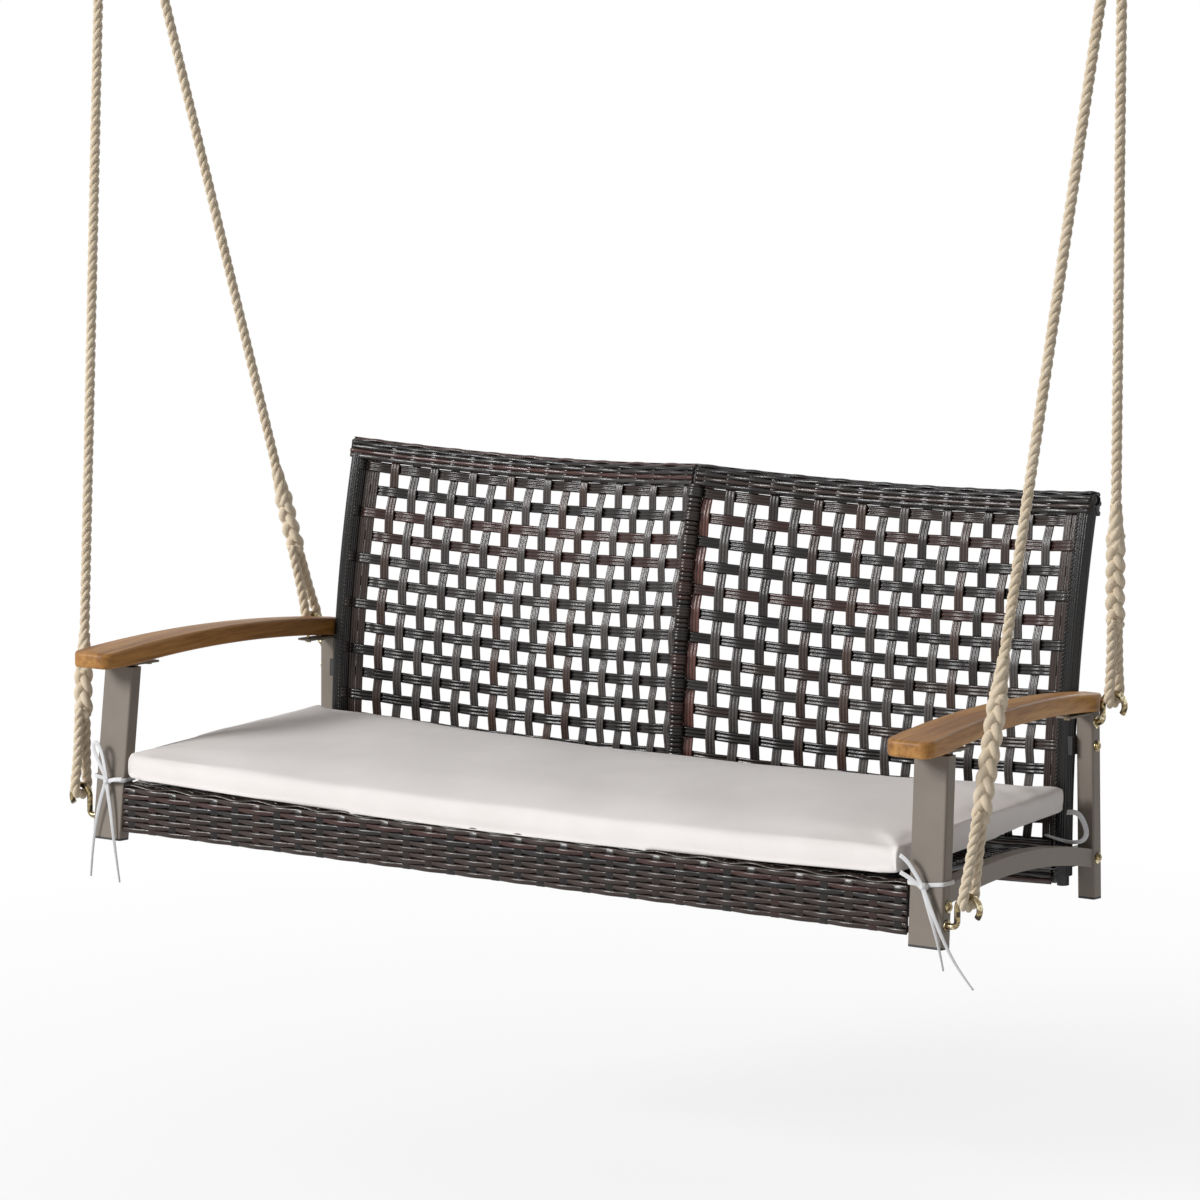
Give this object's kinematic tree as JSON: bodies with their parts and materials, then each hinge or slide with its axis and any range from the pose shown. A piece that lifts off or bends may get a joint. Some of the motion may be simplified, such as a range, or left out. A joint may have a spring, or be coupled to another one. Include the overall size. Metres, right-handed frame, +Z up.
{
  "type": "swing bench",
  "caption": "Hanging porch swing bench with painted steel side frames, wooden arms, a woven seat and lattice back, a loose cushion and rope hangers.",
  "frame": {"origin": "on the ceiling plane, at the centre of the four hanger screw holes", "axes": "+Z up into the ceiling, +X to the sitter's left as seen from the front (right in the picture), +Y to the rear of the bench"},
  "size_m": [1.69, 0.5527, 1.5224],
  "materials": {
    "frame_paint": "satin taupe powder coat",
    "hidden_steel": "satin black powder coat",
    "arm_wood": "oiled, satin",
    "wicker": "ribbed flat strands with a slight sheen",
    "cushion_cloth": "plain weave",
    "tie_cloth": "plain tape",
    "rope": "three-strand laid fibre",
    "foot_plastic": "moulded",
    "zinc": "yellow zinc plate",
    "hanger_steel": "satin"
  },
  "bodies": {
    "ceiling": {"hanger_plate_left": "hanger_steel", "hanger_plate_right": "hanger_steel", "hanger_staple_left": "hanger_steel", "hanger_staple_right": "hanger_steel"},
    "swing": {"apron_bar": "hidden_steel", "arm_plates_front": "frame_paint", "arm_plates_rear": "frame_paint", "arm_screws": "zinc", "armrest_left": "arm_wood", "armrest_right": "arm_wood", "back_bolts": "zinc", "back_bottom_band_left": "wicker", "back_bottom_band_right": "wicker", "back_bottom_rail": "hidden_steel", "back_columns_left": "wicker", "back_columns_right": "wicker", "back_edge_wrap_left": "wicker", "back_edge_wrap_right": "wicker", "back_middle_post": "hidden_steel", "back_middle_wrap": "wicker", "back_post_left": "hidden_steel", "back_post_right": "hidden_steel", "back_rows_left": "wicker", "back_rows_right": "wicker", "back_tabs": "hidden_steel", "back_top_band": "wicker", "back_top_rail": "hidden_steel", "cushion": "cushion_cloth", "front_apron": "wicker", "front_feet": "foot_plastic", "front_leg_left": "frame_paint", "front_leg_right": "frame_paint", "hook_front_left": "zinc", "hook_front_right": "zinc", "hook_nuts": "zinc", "hook_rear_left": "zinc", "hook_rear_right": "zinc", "leg_washers": "zinc", "rear_feet": "foot_plastic", "rear_leg_left": "frame_paint", "rear_leg_right": "frame_paint", "rope_front_left": "rope", "rope_front_right": "rope", "rope_rear_left": "rope", "rope_rear_right": "rope", "seat_bars": "hidden_steel", "seat_bolts": "zinc", "seat_front_rail": "hidden_steel", "seat_rear_rail": "hidden_steel", "seat_weave": "wicker", "side_stretcher_left": "frame_paint", "side_stretcher_right": "frame_paint", "tie_front_left": "tie_cloth", "tie_front_right": "tie_cloth", "tie_rear_left": "tie_cloth", "tie_rear_right": "tie_cloth"}
  },
  "joints": [
    {"name": "swing", "type": "hinge", "parent": "ceiling", "child": "swing", "pos_m": [0, 0, -0.035], "axis": [1, 0, 0], "range_deg": [-25, 25]}
  ]
}
